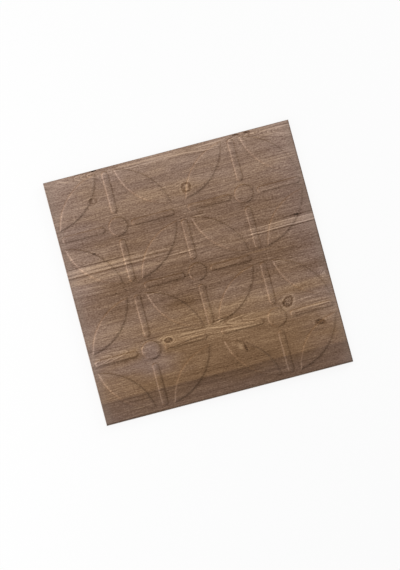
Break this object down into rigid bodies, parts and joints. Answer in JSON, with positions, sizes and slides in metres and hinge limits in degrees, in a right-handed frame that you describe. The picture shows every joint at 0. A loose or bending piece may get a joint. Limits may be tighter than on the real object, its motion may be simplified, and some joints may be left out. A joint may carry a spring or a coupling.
{
  "type": "wall panel tile",
  "caption": "Square wood-grain wall panel tile, its face pressed into a low relief of overlapping rings with pointed leaves, round-ended bars and discs, and a flat back for adhesive.",
  "frame": {"origin": "middle of the flat back, with the tile lying face up on it", "axes": "+Z out of the face, +X along the wood grain to the tile's right edge, +Y to its top edge"},
  "size_m": [0.4, 0.4, 0.0105],
  "materials": {
    "wood_face": "satin"
  },
  "bodies": {
    "root": {"wall_tile": "wood_face"}
  },
  "joints": []
}
